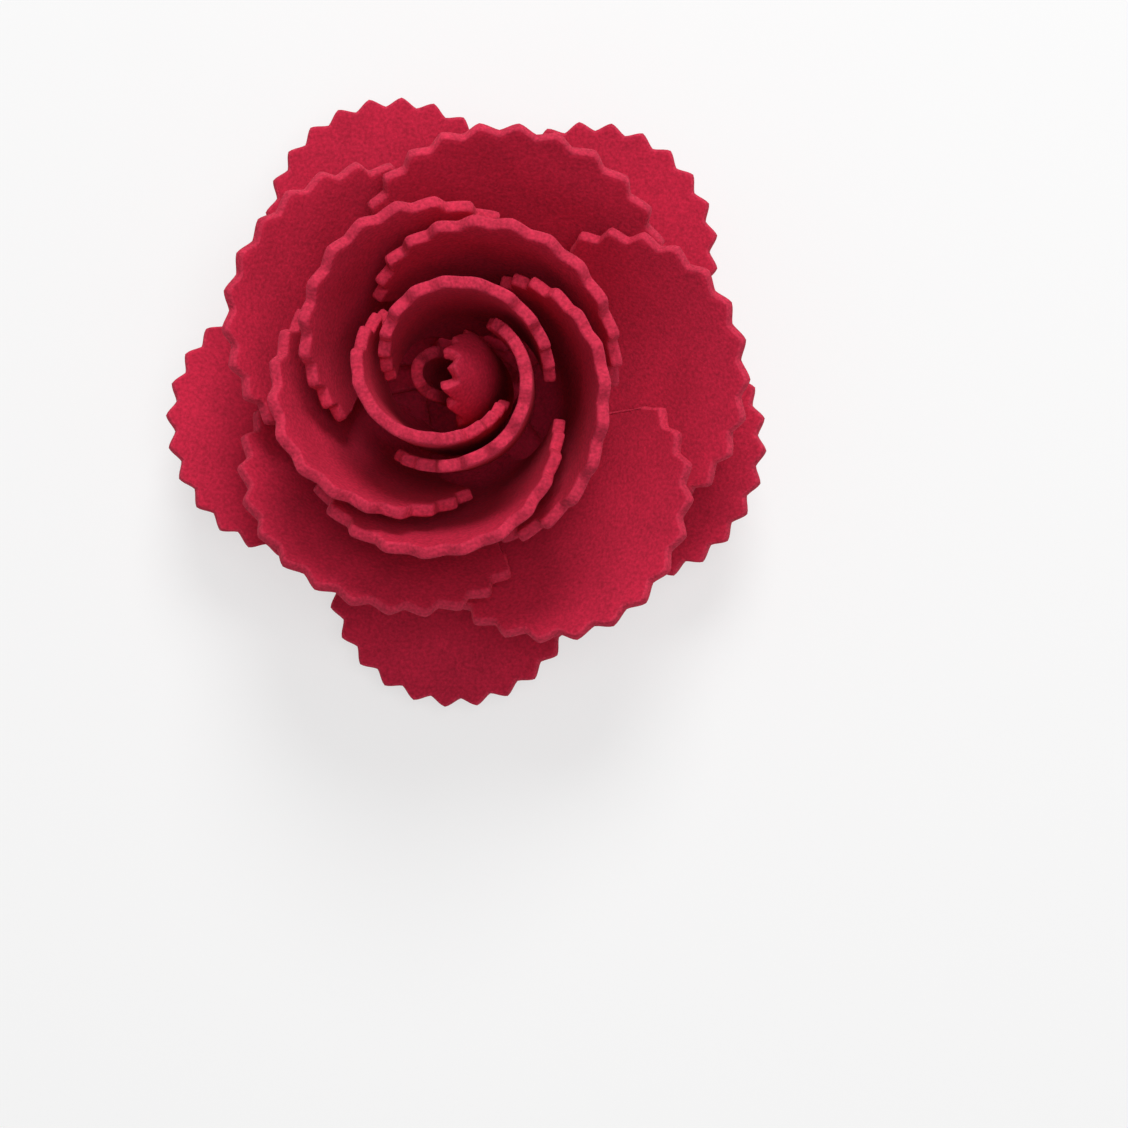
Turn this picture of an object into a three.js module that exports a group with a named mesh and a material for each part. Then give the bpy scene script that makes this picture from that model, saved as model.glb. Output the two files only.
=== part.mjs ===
import * as THREE from 'three';
import { mergeVertices } from 'three/addons/utils/BufferGeometryUtils.js';

// A rose of craft foam, lying on its back. Millimetres, +Z up along the flower's axis,
// +X to the right of the picture, origin in the middle of the underside of the backing.
// Every petal is one flat cut with a pinked top, bent into a cup and glued by its narrow base.

// Sheet and glue
const FOAM = 1.4;
const GLUE = 0.35;
const LAYER = FOAM + GLUE;

// Flat cut of a petal
const BASE_WIDTH = 5;
const TOP_RADIUS = 16.2;
const TOP_HEIGHT = 17.3;
const PETAL_LENGTH = TOP_HEIGHT + TOP_RADIUS;
const TOP_HALF_ANGLE = 104;
const PINKED_HALF_ANGLE = 93;
const TOOTH_DEPTH = 1.1;
const CORNER_CUT = 1.4;

// Round backing under the petals
const BACKING_RADIUS = 13;

// Middle of the bud
const BUD_RADIUS = 1.4;
const WRAP_DRIFT = [-0.03, 0.02];
const ROLL_DRIFT = [-0.08, 0.02];

// Fineness of a petal's surface: bands lie closer together where the base bends
const BAND_CROWDING = 1.4;
const BEND_STEPS = 40;
const NUDGE = 0.001;

// Rows from the outside in. Angles in degrees, lengths in millimetres.
// layers: sheets between the bud's middle and the base; width and length: size of the cut beside
// the full petal; teeth: points of its pinked edge, each cut into facets; bands: facets up the petal;
// fan: distance from the base to the point that the cut is wound around; start and lean: slope at
// the base and above the bend; rise: length of the bend; twist: extra lean from one petal to the
// next; curl: turn of the rim, beginning at curlFrom and done after curlOver, in petal lengths.
const ROWS = [
  {
    name: 'outer',
    color: 0x9c1a34,
    layers: 2.6,
    width: 1,
    length: 1,
    teeth: 13,
    facets: 2,
    bands: 5,
    fan: 6,
    start: 0,
    rise: 10,
    twist: 2,
    curl: 0,
    curlFrom: 0.66,
    curlOver: 0.36,
    drift: [0, 0],
    azimuths: [50, 115, 191, 265, 342],
    leans: [14, 15, 24, 6, 22],
  },
  {
    name: 'middle',
    color: 0xa41c37,
    layers: 2.75,
    width: 1.14,
    length: 1,
    teeth: 13,
    facets: 2,
    bands: 6,
    fan: 8,
    start: 8,
    rise: 11,
    twist: 8,
    curl: -8,
    curlFrom: 0.66,
    curlOver: 0.36,
    drift: [0, 0],
    azimuths: [8, 76, 150, 236, 310],
    leans: [40, 51, 54, 54, 40],
  },
  {
    name: 'inner',
    color: 0xac1e3a,
    layers: 3.5,
    width: 1.1,
    length: 1,
    teeth: 13,
    facets: 2,
    bands: 6,
    fan: 15,
    start: 29,
    rise: 10,
    twist: 4.5,
    curl: -6,
    curlFrom: 0.66,
    curlOver: 0.36,
    drift: [0, 0],
    azimuths: [66, 134, 214, 275, 355],
    leans: [80, 78, 76, 75, 80],
  },
  {
    name: 'cup',
    color: 0xb4203d,
    layers: 3.1,
    width: 0.9,
    length: 0.87,
    teeth: 13,
    facets: 2,
    bands: 8,
    fan: 30,
    start: 68,
    rise: 9,
    twist: 3,
    curl: 0,
    curlFrom: 0.66,
    curlOver: 0.36,
    drift: [0, 0],
    azimuths: [90, 235, 325],
    leans: [88, 90, 87],
  },
];

// The bud: a wrap petal around a rolled one, both standing inside the rows.
const BUD = [
  {
    name: 'wrap',
    color: 0xb02039,
    layers: 1.6,
    width: 0.47,
    length: 1.07,
    teeth: 9,
    facets: 2,
    bands: 8,
    fan: 90,
    start: 82,
    rise: 14,
    twist: 0,
    curl: 36,
    curlFrom: 0.735,
    curlOver: 0.27,
    drift: WRAP_DRIFT,
    azimuths: [-5],
    leans: [90],
  },
  {
    name: 'roll',
    color: 0xa81d38,
    layers: 0.25,
    width: 0.315,
    length: 0.82,
    teeth: 6,
    facets: 4,
    bands: 8,
    fan: 90,
    start: 86,
    rise: 14,
    twist: 0,
    curl: 14,
    curlFrom: 0.66,
    curlOver: 0.2,
    drift: ROLL_DRIFT,
    azimuths: [178],
    leans: [89],
  },
];

const radians = THREE.MathUtils.degToRad;
const ease = (x) => THREE.MathUtils.smoothstep(x, 0, 1);

// Radius at which the bases of a row are glued.
function baseRadius(row) {
  return BUD_RADIUS + row.layers * LAYER;
}

// Azimuth and lean of a row's petals, counted on past the last one.
function azimuthOf(row, k) {
  const count = row.azimuths.length;
  return row.azimuths[THREE.MathUtils.euclideanModulo(k, count)] + 360 * Math.floor(k / count);
}

function leanOf(row, k) {
  return row.leans[THREE.MathUtils.euclideanModulo(k, row.leans.length)];
}

// How far a corner of a base lies above or below its middle in the pinwheel of a row.
function baseSpread(row) {
  const halfAngle = (BASE_WIDTH * row.width) / 2 / baseRadius(row);
  const closest = Math.min(...row.azimuths.map((azimuth, k) => azimuthOf(row, k + 1) - azimuth));
  return (LAYER * halfAngle) / radians(closest);
}

// Height of the middle of the sheet at the base of each row, stacked up from the backing.
function seatRows() {
  let seat = FOAM + GLUE + FOAM / 2;
  const seats = ROWS.map((row, index) => {
    const spread = baseSpread(row);
    if (index > 0) {
      seat += baseSpread(ROWS[index - 1]) + FOAM / Math.cos(radians(row.start)) + GLUE;
    }
    seat += spread;
    return { ...row, seat };
  });
  const standing = BUD.map((row) => {
    const tilted = (FOAM / 2) * Math.cos(radians(row.start));
    return { ...row, seat: FOAM + GLUE + tilted };
  });
  return [...seats, ...standing];
}

// Columns of facets across a petal, with one more at each end for the rounded corner.
function columnsOf(row) {
  return row.teeth * row.facets + 2;
}

// Angle of a point of the round top, with the pinked part filling all columns but the outermost.
function topAngle(row, across) {
  const pinked = 1 - 2 / columnsOf(row);
  const corner = Math.max(Math.abs(across) - pinked, 0) / (1 - pinked);
  const along = Math.min(Math.abs(across) / pinked, 1);
  const angle = along * PINKED_HALF_ANGLE + corner * (TOP_HALF_ANGLE - PINKED_HALF_ANGLE);
  return Math.sign(across) * angle;
}

// Point of the flat cut: across runs from -1 to 1, along from 0 at the base to 1 at the rim.
function flatCut(row, across, along) {
  const angle = topAngle(row, across);
  const turns = row.teeth * THREE.MathUtils.clamp((angle / PINKED_HALF_ANGLE + 1) / 2, 0, 1);
  const notch = 0.5 + 0.5 * Math.cos(2 * Math.PI * turns);
  const corner = ease((Math.abs(angle) - PINKED_HALF_ANGLE) / (TOP_HALF_ANGLE - PINKED_HALF_ANGLE));
  const radius = TOP_RADIUS - TOOTH_DEPTH * notch - CORNER_CUT * corner;
  const baseX = (across * BASE_WIDTH) / 2;
  const rimX = radius * Math.sin(radians(angle));
  const rimY = TOP_HEIGHT + radius * Math.cos(radians(angle));
  return { x: row.width * (baseX + (rimX - baseX) * along), y: row.length * rimY * along };
}

// Place of an angle among the petals of a row: turn counts petals from this one, and lean
// passes smoothly from the lean of one petal to that of the next.
function placeInRow(row, index, around) {
  const azimuth = row.azimuths[index] + THREE.MathUtils.radToDeg(around);
  let k = index;
  while (azimuth < azimuthOf(row, k)) {
    k -= 1;
  }
  while (azimuth >= azimuthOf(row, k + 1)) {
    k += 1;
  }
  const part = (azimuth - azimuthOf(row, k)) / (azimuthOf(row, k + 1) - azimuthOf(row, k));
  const turn = k + part - index;
  const between = leanOf(row, k) + (leanOf(row, k + 1) - leanOf(row, k)) * ease(part);
  return { turn, lean: between + row.twist * turn };
}

// Slope of the sheet above the horizontal at a distance from its base.
function slope(row, distance, lean) {
  const curl = row.curl * ease((distance / PETAL_LENGTH - row.curlFrom) / row.curlOver);
  return radians(row.start + (lean - row.start) * ease(distance / row.rise) + curl);
}

// Radius and height reached by following the slope from the base.
function profile(row, distance, lean) {
  const step = distance / BEND_STEPS;
  let radius = baseRadius(row);
  let height = row.seat;
  for (let i = 0; i < BEND_STEPS; i += 1) {
    const angle = slope(row, (i + 0.5) * step, lean);
    radius += Math.cos(angle) * step;
    height += Math.sin(angle) * step;
  }
  return { radius, height };
}

// Middle of the bent sheet. The counter-clockwise side of a petal lies inside the next petal,
// one layer of foam and glue away from it.
function bentSheet(row, index, across, along) {
  const { x, y } = flatCut(row, across, along);
  const reach = Math.hypot(x, y + row.fan);
  const distance = reach - row.fan;
  const middle = profile(row, distance, row.leans[index]);
  const around = (reach * Math.atan2(x, y + row.fan)) / Math.max(middle.radius, FOAM);
  const { turn, lean } = placeInRow(row, index, around);
  const { radius, height } = profile(row, distance, lean);
  const angle = slope(row, distance, lean);
  const inward = LAYER * turn;
  const r = radius - Math.sin(angle) * inward;
  const z = height + Math.cos(angle) * inward;
  const azimuth = radians(row.azimuths[index]) + around;
  return new THREE.Vector3(
    r * Math.cos(azimuth) + row.drift[0] * z,
    r * Math.sin(azimuth) + row.drift[1] * z,
    z,
  );
}

// Unit normal of the bent sheet, on the side that faces the flower's axis.
function sheetNormal(row, index, across, along) {
  const u = THREE.MathUtils.clamp(across, NUDGE - 1, 1 - NUDGE);
  const v = THREE.MathUtils.clamp(along, NUDGE, 1 - NUDGE);
  const du = bentSheet(row, index, u + NUDGE, v).sub(bentSheet(row, index, u - NUDGE, v));
  const dv = bentSheet(row, index, u, v + NUDGE).sub(bentSheet(row, index, u, v - NUDGE));
  return du.cross(dv).normalize();
}

function petalMesh(row, index) {
  const geometry = new THREE.BoxGeometry(2, 1, FOAM, columnsOf(row), row.bands, 1);
  geometry.deleteAttribute('normal');
  geometry.deleteAttribute('uv');
  geometry.clearGroups();
  const position = geometry.getAttribute('position');
  for (let i = 0; i < position.count; i += 1) {
    const across = position.getX(i);
    const along = Math.max(position.getY(i) + 0.5, 0) ** BAND_CROWDING;
    const point = bentSheet(row, index, across, along);
    point.addScaledVector(sheetNormal(row, index, across, along), position.getZ(i));
    position.setXYZ(i, point.x, point.y, point.z);
  }
  const solid = mergeVertices(geometry);
  solid.computeVertexNormals();
  const material = new THREE.MeshStandardMaterial({ color: row.color, roughness: 0.95 });
  const mesh = new THREE.Mesh(solid, material);
  mesh.name = row.azimuths.length > 1 ? `petal_${row.name}_${index + 1}` : `bud_${row.name}`;
  return mesh;
}

function backingMesh() {
  const geometry = new THREE.CylinderGeometry(BACKING_RADIUS, BACKING_RADIUS, FOAM, 48);
  geometry.rotateX(Math.PI / 2);
  geometry.translate(0, 0, FOAM / 2);
  const material = new THREE.MeshStandardMaterial({ color: 0x8f1830, roughness: 0.95 });
  const mesh = new THREE.Mesh(geometry, material);
  mesh.name = 'backing';
  return mesh;
}

const rose = new THREE.Group();
rose.name = 'craft_foam_rose';
rose.add(backingMesh());
for (const row of seatRows()) {
  row.azimuths.forEach((_, index) => rose.add(petalMesh(row, index)));
}

export default rose;
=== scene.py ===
import math

import bpy
import numpy as np
from mathutils import Matrix, Vector


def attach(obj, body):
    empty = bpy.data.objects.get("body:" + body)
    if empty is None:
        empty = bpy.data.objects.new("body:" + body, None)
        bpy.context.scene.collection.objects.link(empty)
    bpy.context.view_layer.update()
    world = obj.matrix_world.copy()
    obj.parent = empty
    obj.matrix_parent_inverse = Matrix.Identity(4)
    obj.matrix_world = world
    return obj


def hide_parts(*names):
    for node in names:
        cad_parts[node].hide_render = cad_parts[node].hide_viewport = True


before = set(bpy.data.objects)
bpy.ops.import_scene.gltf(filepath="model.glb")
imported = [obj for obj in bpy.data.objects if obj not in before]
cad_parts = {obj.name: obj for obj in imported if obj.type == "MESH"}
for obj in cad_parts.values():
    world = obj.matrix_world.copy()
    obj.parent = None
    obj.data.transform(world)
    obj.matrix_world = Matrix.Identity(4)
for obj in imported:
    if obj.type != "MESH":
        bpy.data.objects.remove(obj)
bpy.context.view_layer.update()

# A rose of craft foam that lies on its back. The sizes are in millimetres and repeat those of the
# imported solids, so each fine petal lies where its solid is.
MM = 0.001

# Sheet and glue
FOAM = 1.4
GLUE = 0.35
LAYER = FOAM + GLUE

# Flat cut of a petal
BASE_WIDTH = 5.0
TOP_RADIUS = 16.2
TOP_HEIGHT = 17.3
PETAL_LENGTH = TOP_HEIGHT + TOP_RADIUS
TOP_HALF_ANGLE = math.radians(104)
PINKED_HALF_ANGLE = math.radians(93)
TOOTH_DEPTH = 1.1
TOOTH_ROUNDING = 0.45
CORNER_CUT = 1.4

# Bud and backing
BUD_RADIUS = 1.4
WRAP_DRIFT = (-0.03, 0.02)
ROLL_DRIFT = (-0.08, 0.02)
BACKING_RADIUS = 13.0

# Cross-section of a cut edge: height in the sheet as a share of its thickness, and how far the
# section stands back from the outline there
EDGE_SECTION = [(0.5, 0.28), (0.43, 0.09), (0.28, 0.0), (-0.28, 0.0), (-0.43, 0.09), (-0.5, 0.28)]

# Fineness of the surface
COLUMNS_PER_TOOTH = 10
CORNER_COLUMNS = 4
BANDS = 44
BEND_STEPS = 48
NUDGE = 0.02

# Slight waves left in the sheet by shaping it by hand
WAVE_HEIGHT = 0.12
WAVE_LENGTHS = (7.0, 11.0, 17.0)
SEED = 7

# Rows from the outside in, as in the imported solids
FULL_PETAL = dict(
    width=1.0, length=1.0, teeth=13, curl=0.0, curl_from=0.66, curl_over=0.36, drift=(0.0, 0.0),
)
ROWS = [
    dict(
        FULL_PETAL, name="outer", layers=2.6, fan=6, start=0, rise=10, twist=2,
        azimuths=[50, 115, 191, 265, 342], leans=[14, 15, 24, 6, 22],
    ),
    dict(
        FULL_PETAL, name="middle", layers=2.75, width=1.14, fan=8, start=8, rise=11, twist=8, curl=-8,
        azimuths=[8, 76, 150, 236, 310], leans=[40, 51, 54, 54, 40],
    ),
    dict(
        FULL_PETAL, name="inner", layers=3.5, width=1.1, fan=15, start=29, rise=10, twist=4.5, curl=-6,
        azimuths=[66, 134, 214, 275, 355], leans=[80, 78, 76, 75, 80],
    ),
    dict(
        FULL_PETAL, name="cup", layers=3.1, width=0.9, length=0.87, fan=30, start=68, rise=9, twist=3,
        azimuths=[90, 235, 325], leans=[88, 90, 87],
    ),
]
BUD = [
    dict(
        FULL_PETAL, name="wrap", layers=1.6, width=0.47, length=1.07, teeth=9, fan=90, start=82, rise=14,
        twist=0, curl=36, curl_from=0.735, curl_over=0.27, drift=WRAP_DRIFT, azimuths=[-5], leans=[90],
    ),
    dict(
        FULL_PETAL, name="roll", layers=0.25, width=0.315, length=0.82, teeth=6, fan=90, start=86,
        rise=14, twist=0, curl=14, curl_over=0.2, drift=ROLL_DRIFT, azimuths=[178], leans=[89],
    ),
]

# Rings of points on each face of the backing, and points on a ring
BACKING_RINGS = 12
BACKING_POINTS = 128

# Foam: linear colour, spread of the grain in it and depth of the open cells, on faces and cut edges. The
# lighter colour of the cut edges is partly their coarser open cells and partly a painted highlight for the
# light that the raised rims catch.
FACE_FOAM = dict(color=(0.52, 0.014, 0.049), grain=0.3, pore_depth=0.3)
EDGE_FOAM_WITH_HIGHLIGHT = dict(color=(0.55, 0.023, 0.062), grain=0.36, pore_depth=0.7)
FOAM_ROUGHNESS = 0.9
FOAM_GLOSS = 0.25
GRAIN_SCALE = 2600
MOTTLE_SCALE = 160
MOTTLE_SHARE = 0.25
CELL_SCALE = 2200
GRAIN_STRENGTH = 0.35
GRAIN_HEIGHT = 0.00008

# Studio: pale floor just below the backing, two round lamps and a weak fill from all around.
# Lamps have a direction, a width in metres and a power in watts.
FLOOR_HALF_SIZE = 3.0
FLOOR_DROP = 0.00005
FLOOR_COLOR = (0.9, 0.9, 0.9, 1)
FLOOR_GLOW = 0.6
LAMP_DISTANCE = 0.7
LAMPS = dict(
    key=((0.12, 0.68, 0.72), 0.3, 2.9),
    front=((0.2, 0.0, 1.0), 0.35, 1.4),
)
FILL = 0.26
WHITE = (1, 1, 1, 1)

# Camera, from the picture: it looks down on the flower, which lies left of and above the middle
FRAME_PIXELS = 1128
SENSOR = 36.0
CAMERA_DISTANCE = 300.0
PIXELS_PER_MM = 7.9
FLOWER_PIXEL = (474, 396)
CAMERA_TILT = math.radians(2.5)
CAMERA_TOWARD = math.radians(-10)
FOCUS_HEIGHT = 3.0


def ease(x):
    x = np.clip(x, 0, 1)
    return x * x * (3 - 2 * x)


# Petal shape


def base_radius(row):
    return BUD_RADIUS + row["layers"] * LAYER


def spacing(row):
    """Angles in degrees from each petal of a row to the next one."""
    azimuths = row["azimuths"]
    return np.diff(azimuths + [azimuths[0] + 360])


def base_spread(row):
    half_angle = BASE_WIDTH * row["width"] / 2 / base_radius(row)
    return LAYER * half_angle / math.radians(spacing(row).min())


def seat_rows():
    """Height of the middle of the sheet at the base of each row, stacked up from the backing."""
    seat = FOAM + GLUE + FOAM / 2
    for index, row in enumerate(ROWS):
        if index > 0:
            seat += base_spread(ROWS[index - 1]) + FOAM / math.cos(math.radians(row["start"])) + GLUE
        seat += base_spread(row)
        row["seat"] = seat
    for row in BUD:
        row["seat"] = FOAM + GLUE + FOAM / 2 * math.cos(math.radians(row["start"]))
    return ROWS + BUD


def cut_angles(row):
    """Angles of the columns on the round top: evenly over the teeth, a few more for each corner."""
    pinked = np.linspace(-PINKED_HALF_ANGLE, PINKED_HALF_ANGLE, row["teeth"] * COLUMNS_PER_TOOTH + 1)
    corner = np.linspace(PINKED_HALF_ANGLE, TOP_HALF_ANGLE, CORNER_COLUMNS + 1)[1:]
    return np.concatenate([-corner[::-1], pinked, corner])


def flat_cut(row, back):
    """Grid of points of the flat cut, in rows from the base to the rim, standing back from the outline."""
    angle = cut_angles(row)
    turns = row["teeth"] * np.clip((angle / PINKED_HALF_ANGLE + 1) / 2, 0, 1)
    zigzag = np.abs(2 * (turns % 1) - 1)
    notch = zigzag + TOOTH_ROUNDING * (0.5 + 0.5 * np.cos(2 * np.pi * turns) - zigzag)
    corner = ease((np.abs(angle) - PINKED_HALF_ANGLE) / (TOP_HALF_ANGLE - PINKED_HALF_ANGLE))
    radius = TOP_RADIUS - TOOTH_DEPTH * notch - CORNER_CUT * corner - back
    base_x = np.linspace(-1, 1, len(angle)) * (BASE_WIDTH / 2 - back)
    rim_x = radius * np.sin(angle)
    rim_y = TOP_HEIGHT + radius * np.cos(angle)
    along = np.linspace(0, 1, BANDS + 1)[:, None]
    x = row["width"] * (base_x + (rim_x - base_x) * along)
    y = row["length"] * (back + (rim_y - back) * along)
    return x, y


def place_in_row(row, index, around):
    """Petals counted from this one at an angle from it, and the lean of the row there."""
    count = len(row["azimuths"])
    k = np.arange(index - 3 * count, index + 3 * count + 1)
    azimuths = np.array(row["azimuths"], float)
    knots = np.radians(azimuths[k % count] + 360 * (k // count) - azimuths[index])
    leans = np.array(row["leans"], float)[k % count]
    found = np.searchsorted(knots, around, side="right") - 1
    part = (around - knots[found]) / (knots[found + 1] - knots[found])
    turn = k[found] + part - index
    lean = leans[found] + (leans[found + 1] - leans[found]) * ease(part)
    return turn, lean + row["twist"] * turn


def slope(row, distance, lean):
    curl = row["curl"] * ease((distance / PETAL_LENGTH - row["curl_from"]) / row["curl_over"])
    return np.radians(row["start"] + (lean - row["start"]) * ease(distance / row["rise"]) + curl)


def profile(row, distance, lean):
    """Radius and height reached by following the slope from the base."""
    step = distance / BEND_STEPS
    radius = np.full_like(distance, base_radius(row))
    height = np.full_like(distance, row["seat"])
    for i in range(BEND_STEPS):
        angle = slope(row, (i + 0.5) * step, lean)
        radius += np.cos(angle) * step
        height += np.sin(angle) * step
    return radius, height


def bent_sheet(row, index, x, y):
    """Middle of the bent sheet at points of the flat cut."""
    reach = np.hypot(x, y + row["fan"])
    distance = reach - row["fan"]
    middle, _ = profile(row, distance, row["leans"][index])
    around = reach * np.arctan2(x, y + row["fan"]) / np.maximum(middle, FOAM)
    turn, lean = place_in_row(row, index, around)
    radius, height = profile(row, distance, lean)
    angle = slope(row, distance, lean)
    r = radius - np.sin(angle) * LAYER * turn
    z = height + np.cos(angle) * LAYER * turn
    azimuth = math.radians(row["azimuths"][index]) + around
    drift_x, drift_y = row["drift"]
    return np.stack([r * np.cos(azimuth) + drift_x * z, r * np.sin(azimuth) + drift_y * z, z], axis=-1)


def sheet_normal(row, index, x, y):
    dx = bent_sheet(row, index, x + NUDGE, y) - bent_sheet(row, index, x - NUDGE, y)
    dy = bent_sheet(row, index, x, y + NUDGE) - bent_sheet(row, index, x, y - NUDGE)
    normal = np.cross(dx, dy)
    return normal / np.linalg.norm(normal, axis=-1, keepdims=True)


def hand_waves(rng, x, y):
    """Low waves over the flat cut that grow from the base to the rim."""
    wave = np.zeros_like(x)
    for length in WAVE_LENGTHS:
        heading = rng.uniform(0, 2 * np.pi)
        phase = rng.uniform(0, 2 * np.pi)
        wave += np.sin(2 * np.pi * (x * np.cos(heading) + y * np.sin(heading)) / length + phase)
    return WAVE_HEIGHT * wave / len(WAVE_LENGTHS) * ease(y / PETAL_LENGTH)


def outline(grid):
    """Points around a grid, counter-clockwise from the start of its first row."""
    return np.concatenate([grid[0], grid[1:, -1], grid[-1, -2::-1], grid[-2:0:-1, 0]])


def petal_mesh(row, index, seed):
    """Closed petal: two faces and the loops of its cut edge between them."""
    vertices = []
    for share, back in EDGE_SECTION:
        x, y = flat_cut(row, back)
        wave = hand_waves(np.random.default_rng(seed), x, y)
        offset = (share * FOAM + wave)[..., None] * sheet_normal(row, index, x, y)
        layer = bent_sheet(row, index, x, y) + offset
        is_face = abs(share) == EDGE_SECTION[0][0]
        vertices.append(layer.reshape(-1, 3) if is_face else outline(layer))
    shape = x.shape
    starts = np.cumsum([0] + [len(v) for v in vertices])
    ids = np.arange(shape[0] * shape[1]).reshape(shape)
    quads = np.stack([ids[:-1, :-1], ids[:-1, 1:], ids[1:, 1:], ids[1:, :-1]], axis=-1).reshape(-1, 4)
    faces = [quads, quads[:, ::-1] + starts[len(EDGE_SECTION) - 1]]
    ring = outline(ids)
    loops = [ring]
    for k in range(1, len(EDGE_SECTION) - 1):
        loops.append(np.arange(len(ring)) + starts[k])
    loops.append(ring + starts[len(EDGE_SECTION) - 1])
    for upper, lower in zip(loops, loops[1:]):
        ahead = [np.roll(upper, -1), np.roll(lower, -1)]
        faces.append(np.stack([upper, lower, ahead[1], ahead[0]], axis=-1))
    edge_count = len(ring) * (len(loops) - 1)
    edge = np.concatenate([np.zeros(2 * len(quads), int), np.ones(edge_count, int)])
    return np.concatenate(vertices), np.concatenate(faces).tolist(), edge


def add_piece(name, vertices, faces, material_index, materials):
    """Smooth mesh object from points in millimetres."""
    mesh = bpy.data.meshes.new(name)
    mesh.from_pydata(np.asarray(vertices) * MM, [], faces)
    for material in materials:
        mesh.materials.append(material)
    mesh.polygons.foreach_set("material_index", material_index)
    mesh.polygons.foreach_set("use_smooth", np.ones(len(faces), bool))
    mesh.update()
    piece = bpy.data.objects.new(name, mesh)
    bpy.context.collection.objects.link(piece)
    return piece


def backing_mesh():
    """Round disc with the same soft cut edge as the petals, as rings of points around the axis."""
    radii = [BACKING_RADIUS * k / BACKING_RINGS for k in range(1, BACKING_RINGS)]
    rings = [(radius, 0.5) for radius in radii]
    rings += [(BACKING_RADIUS - back, share) for share, back in EDGE_SECTION]
    rings += [(radius, -0.5) for radius in reversed(radii)]
    count = BACKING_POINTS
    turn = np.linspace(0, 2 * np.pi, count, endpoint=False)
    vertices = [[0.0, 0.0, FOAM], [0.0, 0.0, 0.0]]
    for radius, share in rings:
        height = np.full(count, FOAM / 2 + share * FOAM)
        vertices += np.stack([radius * np.cos(turn), radius * np.sin(turn), height], axis=-1).tolist()
    loops = [2 + np.arange(count) + k * count for k in range(len(rings))]
    faces = []
    for inner, outer in zip(loops, loops[1:]):
        faces += np.stack([inner, outer, np.roll(outer, -1), np.roll(inner, -1)], axis=-1).tolist()
    faces += [[0, a, b] for a, b in zip(loops[0], np.roll(loops[0], -1))]
    faces += [[1, b, a] for a, b in zip(loops[-1], np.roll(loops[-1], -1))]
    return vertices, faces


# Materials


def foam_material(name, color, grain, pore_depth):
    """Matte closed-cell foam: fine grain in colour and height, with small open cells."""
    material = bpy.data.materials.new(name)
    material.use_nodes = True
    nodes = material.node_tree.nodes
    links = material.node_tree.links
    shader = nodes["Principled BSDF"]
    shader.inputs["Roughness"].default_value = FOAM_ROUGHNESS
    shader.inputs["Specular IOR Level"].default_value = FOAM_GLOSS
    where = nodes.new("ShaderNodeTexCoord")
    fine = nodes.new("ShaderNodeTexNoise")
    fine.inputs["Scale"].default_value = GRAIN_SCALE
    fine.inputs["Detail"].default_value = 3
    broad = nodes.new("ShaderNodeTexNoise")
    broad.inputs["Scale"].default_value = MOTTLE_SCALE
    broad.inputs["Detail"].default_value = 2
    cells = nodes.new("ShaderNodeTexVoronoi")
    cells.inputs["Scale"].default_value = CELL_SCALE
    for texture in (fine, broad, cells):
        links.new(where.outputs["Object"], texture.inputs["Vector"])
    blend = nodes.new("ShaderNodeMix")
    blend.data_type = "FLOAT"
    blend.inputs["Factor"].default_value = MOTTLE_SHARE
    links.new(fine.outputs["Fac"], blend.inputs["A"])
    links.new(broad.outputs["Fac"], blend.inputs["B"])
    ramp = nodes.new("ShaderNodeValToRGB")
    ramp.color_ramp.elements[0].position = 0.3
    ramp.color_ramp.elements[1].position = 0.7
    ramp.color_ramp.elements[0].color = [c * (1 - grain) for c in color] + [1]
    ramp.color_ramp.elements[1].color = [min(c * (1 + grain), 1) for c in color] + [1]
    links.new(blend.outputs["Result"], ramp.inputs["Fac"])
    links.new(ramp.outputs["Color"], shader.inputs["Base Color"])
    grain_bump = nodes.new("ShaderNodeBump")
    grain_bump.inputs["Strength"].default_value = GRAIN_STRENGTH
    grain_bump.inputs["Distance"].default_value = GRAIN_HEIGHT
    links.new(fine.outputs["Fac"], grain_bump.inputs["Height"])
    pore_bump = nodes.new("ShaderNodeBump")
    pore_bump.inputs["Strength"].default_value = pore_depth
    pore_bump.inputs["Distance"].default_value = GRAIN_HEIGHT
    links.new(cells.outputs["Distance"], pore_bump.inputs["Height"])
    links.new(grain_bump.outputs["Normal"], pore_bump.inputs["Normal"])
    links.new(pore_bump.outputs["Normal"], shader.inputs["Normal"])
    return material


# Object

foam_face = foam_material("foam_face", **FACE_FOAM)
# The cut-edge material is lighter than the faces: partly coarser cut cells, partly a painted highlight on
# the rims.
foam_edge_with_highlight = foam_material("foam_edge_with_highlight", **EDGE_FOAM_WITH_HIGHLIGHT)

petals = [(row, index) for row in seat_rows() for index in range(len(row["azimuths"]))]
for number, (row, index) in enumerate(petals, start=1):
    single = len(row["azimuths"]) == 1
    node = f"bud_{row['name']}" if single else f"petal_{row['name']}_{index + 1}"
    vertices, faces, edge = petal_mesh(row, index, SEED + number)
    piece = add_piece(f"foam_{node}", vertices, faces, edge, [foam_face, foam_edge_with_highlight])
    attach(piece, "root")
    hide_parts(node)

disc_vertices, disc_faces = backing_mesh()
no_edge = np.zeros(len(disc_faces), int)
backing = add_piece("foam_backing", disc_vertices, disc_faces, no_edge, [foam_face])
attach(backing, "root")
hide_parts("backing")


# Floor, light and camera


def seen_rays(nodes, links):
    """Socket that is 1 for the rays that see a background: direct, mirrored or let through."""
    path = nodes.new("ShaderNodeLightPath")
    seen = path.outputs["Is Camera Ray"]
    for kind in ("Is Glossy Ray", "Is Transmission Ray"):
        add = nodes.new("ShaderNodeMath")
        add.operation = "ADD"
        add.use_clamp = True
        links.new(seen, add.inputs[0])
        links.new(path.outputs[kind], add.inputs[1])
        seen = add.outputs[0]
    return seen


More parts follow.
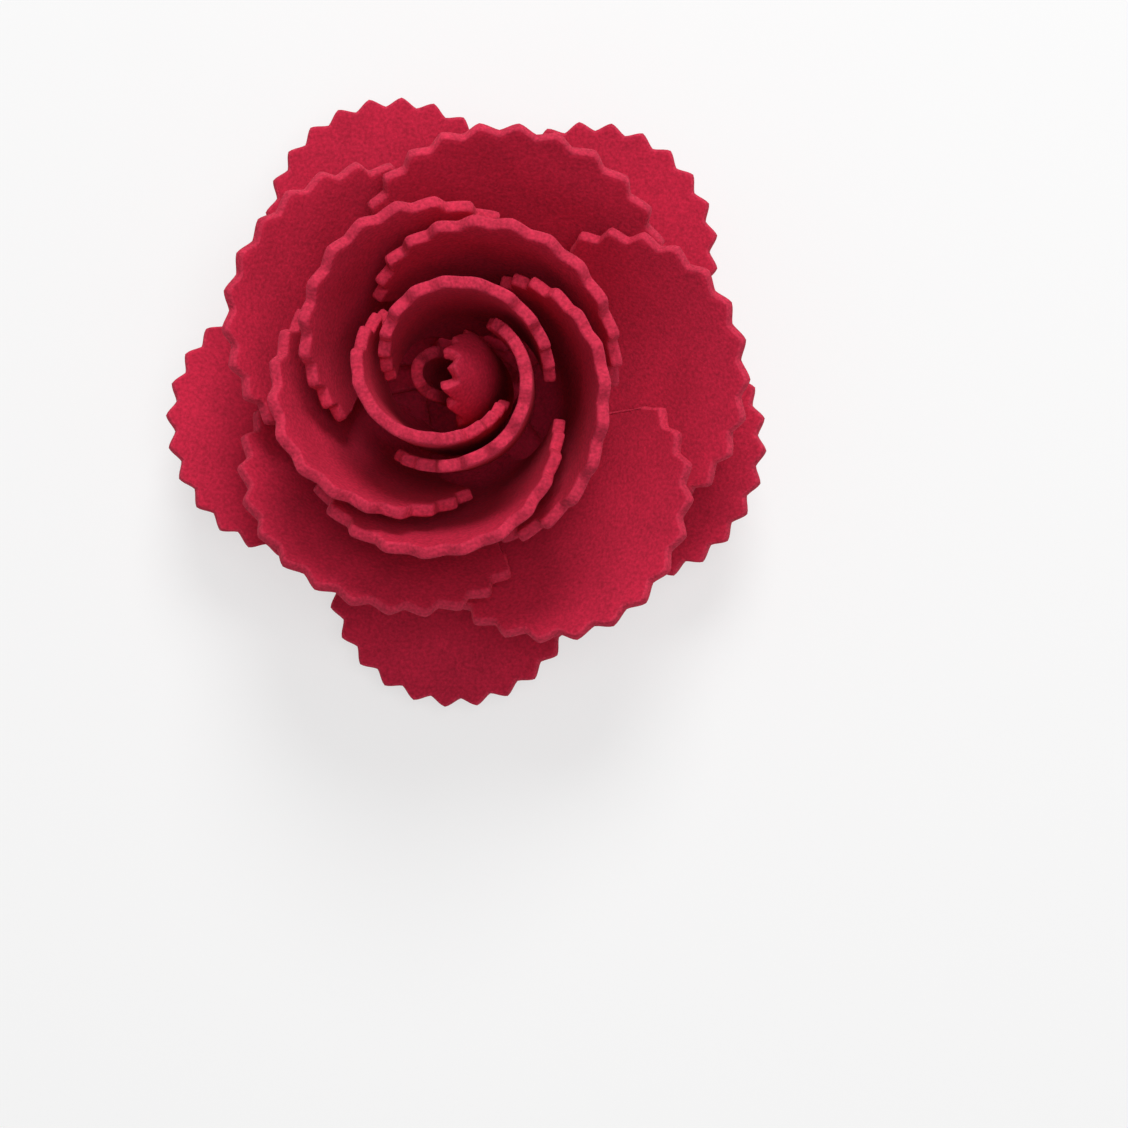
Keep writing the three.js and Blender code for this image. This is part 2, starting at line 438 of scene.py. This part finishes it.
def floor_material():
    material = bpy.data.materials.new("floor")
    material.use_nodes = True
    nodes = material.node_tree.nodes
    links = material.node_tree.links
    output = nodes["Material Output"]
    shader = nodes["Principled BSDF"]
    shader.inputs["Base Color"].default_value = FLOOR_COLOR
    shader.inputs["Roughness"].default_value = 0.9
    glow = nodes.new("ShaderNodeEmission")
    glow.inputs["Strength"].default_value = 1.0
    share = nodes.new("ShaderNodeMath")
    share.operation = "MULTIPLY"
    share.inputs[1].default_value = FLOOR_GLOW
    links.new(seen_rays(nodes, links), share.inputs[0])
    mix = nodes.new("ShaderNodeMixShader")
    links.new(share.outputs[0], mix.inputs["Fac"])
    links.new(shader.outputs["BSDF"], mix.inputs[1])
    links.new(glow.outputs["Emission"], mix.inputs[2])
    links.new(mix.outputs["Shader"], output.inputs["Surface"])
    return material


def add_floor():
    size = FLOOR_HALF_SIZE
    mesh = bpy.data.meshes.new("floor")
    corners = [(-size, -size, 0), (size, -size, 0), (size, size, 0), (-size, size, 0)]
    mesh.from_pydata(corners, [], [(0, 1, 2, 3)])
    mesh.materials.append(floor_material())
    floor = bpy.data.objects.new("floor", mesh)
    floor.location.z = -FLOOR_DROP
    bpy.context.collection.objects.link(floor)


def add_lamp(name, direction, size, power):
    light = bpy.data.lights.new(name, "AREA")
    light.shape = "DISK"
    light.size = size
    light.energy = power
    lamp = bpy.data.objects.new(name, light)
    toward = Vector(direction).normalized()
    lamp.location = toward * LAMP_DISTANCE
    lamp.rotation_euler = toward.to_track_quat("Z", "Y").to_euler()
    bpy.context.collection.objects.link(lamp)


def set_world():
    world = bpy.data.worlds.new("studio")
    bpy.context.scene.world = world
    world.use_nodes = True
    nodes = world.node_tree.nodes
    links = world.node_tree.links
    fill = nodes["Background"]
    fill.inputs["Color"].default_value = WHITE
    fill.inputs["Strength"].default_value = FILL
    white = nodes.new("ShaderNodeBackground")
    white.inputs["Color"].default_value = WHITE
    white.inputs["Strength"].default_value = 1.0
    mix = nodes.new("ShaderNodeMixShader")
    links.new(seen_rays(nodes, links), mix.inputs["Fac"])
    links.new(fill.outputs["Background"], mix.inputs[1])
    links.new(white.outputs["Background"], mix.inputs[2])
    links.new(mix.outputs["Shader"], nodes["World Output"].inputs["Surface"])


def add_camera():
    back = Vector((
        math.sin(CAMERA_TILT) * math.cos(CAMERA_TOWARD),
        math.sin(CAMERA_TILT) * math.sin(CAMERA_TOWARD),
        math.cos(CAMERA_TILT),
    ))
    right = Vector((0, 1, 0)).cross(back).normalized()
    up = back.cross(right)
    across = (FLOWER_PIXEL[0] - FRAME_PIXELS / 2) / PIXELS_PER_MM
    above = (FRAME_PIXELS / 2 - FLOWER_PIXEL[1]) / PIXELS_PER_MM
    place = Vector((0, 0, FOCUS_HEIGHT)) + back * CAMERA_DISTANCE - right * across - up * above
    data = bpy.data.cameras.new("camera")
    data.sensor_width = SENSOR
    data.lens = PIXELS_PER_MM * CAMERA_DISTANCE / FRAME_PIXELS * SENSOR
    data.clip_start = 0.01
    camera = bpy.data.objects.new("camera", data)
    turn = Matrix((right, up, back)).transposed().to_4x4()
    camera.matrix_world = Matrix.Translation(place * MM) @ turn
    bpy.context.collection.objects.link(camera)
    bpy.context.scene.camera = camera


add_floor()
for name, (direction, size, power) in LAMPS.items():
    add_lamp(name, direction, size, power)
set_world()
add_camera()
bpy.context.scene.view_settings.view_transform = "Standard"
